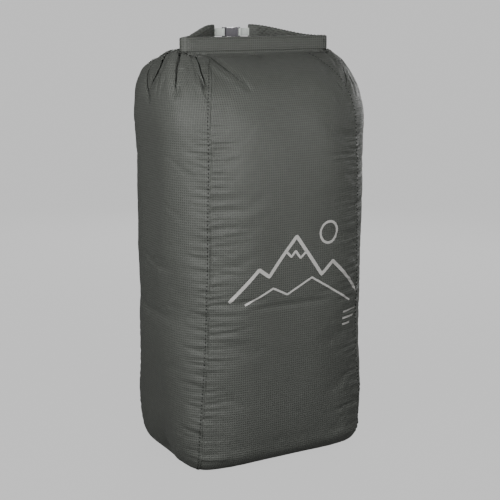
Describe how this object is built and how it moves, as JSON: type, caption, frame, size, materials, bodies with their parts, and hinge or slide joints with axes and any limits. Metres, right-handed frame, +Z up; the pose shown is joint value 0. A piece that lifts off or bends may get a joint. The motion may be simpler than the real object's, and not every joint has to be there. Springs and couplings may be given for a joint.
{
  "type": "roll-top dry sack",
  "caption": "Tall nylon stuff sack shown filled, its rolled mouth bent into a ring and clipped behind with a small side-release buckle.",
  "frame": {"origin": "centre of the bounding box in plan, on the ground under the base", "axes": "+Z up the sack from its base to the rolled mouth, +X to the right along the wide front panel, +Y from the front to the back, where the buckle is"},
  "size_m": [0.445, 0.344, 0.8639],
  "materials": {
    "nylon": "coated ripstop nylon, low sheen",
    "tape": "satin seam tape",
    "stiffener": "matte",
    "buckle": "moulded acetal, satin",
    "webbing": "woven tape"
  },
  "bodies": {
    "sack": {"main_panel": "nylon", "left_gusset": "nylon", "right_gusset": "nylon", "front_left_seam_tape": "tape", "back_left_seam_tape": "tape", "front_right_seam_tape": "tape", "back_right_seam_tape": "tape", "left_foot_seam_tape": "tape", "right_foot_seam_tape": "tape", "roll_front": "nylon", "front_stiffener": "stiffener", "roll_left_tail": "nylon", "left_tail_stiffener": "stiffener", "roll_right_tail": "nylon", "right_tail_stiffener": "stiffener", "left_neck_web": "nylon", "right_neck_web": "nylon", "buckle_socket": "buckle", "left_webbing_tab": "webbing"},
    "plug": {"buckle_plug": "buckle", "right_webbing_tab": "webbing"},
    "upper_prong": {"upper_prong": "buckle"},
    "lower_prong": {"lower_prong": "buckle"}
  },
  "joints": [
    {"name": "buckle_release", "type": "slide", "parent": "sack", "child": "plug", "axis": [1, 0, 0], "range_m": [0, 0.024], "deforming": ["roll_right_tail", "right_tail_stiffener", "right_neck_web", "upper_prong", "lower_prong"]},
    {"name": "upper_prong_squeeze", "type": "hinge", "parent": "plug", "child": "upper_prong", "pos_m": [-0.0007, 0.065, 0.8538], "axis": [0, -1, 0], "range_deg": [0, 8], "stiffness_Nm_per_rad": 0.5},
    {"name": "lower_prong_squeeze", "type": "hinge", "parent": "plug", "child": "lower_prong", "pos_m": [-0.0007, 0.065, 0.8432], "axis": [0, 1, 0], "range_deg": [0, 8], "stiffness_Nm_per_rad": 0.5}
  ]
}
